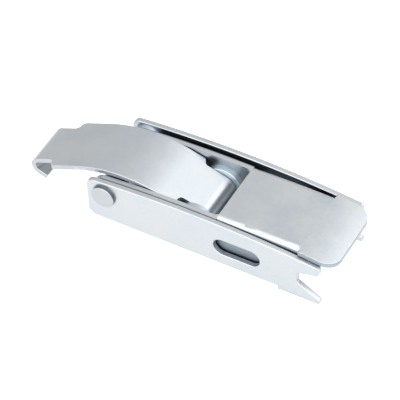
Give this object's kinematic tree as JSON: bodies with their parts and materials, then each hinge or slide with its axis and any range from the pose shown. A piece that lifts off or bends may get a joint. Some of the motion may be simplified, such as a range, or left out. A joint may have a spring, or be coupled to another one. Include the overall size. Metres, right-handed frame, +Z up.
{
  "type": "toggle latch",
  "caption": "Over-centre toggle latch of pressed zinc-plated steel: channel body with fork and slots, folding grip lever and arched claw hook.",
  "frame": {"origin": "on the underside of the body, on its centre plane, directly below the lever's pivot axis", "axes": "+X along the latch from the pivot towards the grip, the claw pointing to -X; +Y across the latch; +Z up, out of the body's open side"},
  "size_m": [0.1437, 0.043, 0.0249],
  "materials": {
    "zinc_sheet": "bright zinc plate, softly brushed",
    "rivet_steel": "bright zinc plate, smooth"
  },
  "bodies": {
    "body": {"body_channel": "zinc_sheet", "pivot_rivet": "rivet_steel", "pivot_washer": "rivet_steel"},
    "lever": {"lever_handle": "zinc_sheet", "link_rivet": "rivet_steel", "eye_washer_near": "rivet_steel", "eye_washer_far": "rivet_steel"},
    "hook": {"hook_strap": "zinc_sheet"}
  },
  "joints": [
    {"name": "lever_pivot", "type": "hinge", "parent": "body", "child": "lever", "pos_m": [0, 0, 0.0154], "axis": [0, -1, 0], "range_deg": [0, 115]},
    {"name": "hook_pivot", "type": "hinge", "parent": "lever", "child": "hook", "pos_m": [0.0382, 0, 0.0117], "axis": [0, -1, 0], "range_deg": [-92, 0]}
  ],
  "couplings": [
    {"joint": "hook_pivot", "follows": "lever_pivot", "ratio": -0.8}
  ]
}
